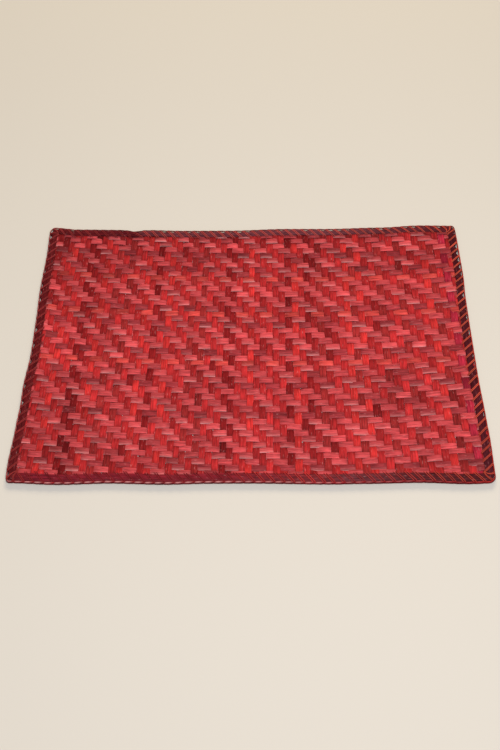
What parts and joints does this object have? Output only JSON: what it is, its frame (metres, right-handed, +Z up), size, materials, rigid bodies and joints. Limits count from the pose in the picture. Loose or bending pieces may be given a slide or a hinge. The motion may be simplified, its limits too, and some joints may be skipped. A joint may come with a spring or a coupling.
{
  "type": "pandanus mat",
  "caption": "Flat oblong place mat plaited from dyed red pandanus leaf strips in a twill, with a dark folded leaf edging sewn round it.",
  "frame": {"origin": "middle of the underside, on the surface that the mat lies on", "axes": "+X along the mat's long side, +Y across it to the far side, +Z up out of the face"},
  "size_m": [0.45, 0.3, 0.0036],
  "materials": {
    "pandanus_strips": "dyed plaited leaf, low sheen",
    "edging_leaf": "dark dyed leaf, low sheen",
    "stitching_thread": "matt twisted thread"
  },
  "bodies": {
    "root": {"woven_panel": "pandanus_strips", "edge_binding": "edging_leaf"}
  },
  "joints": []
}
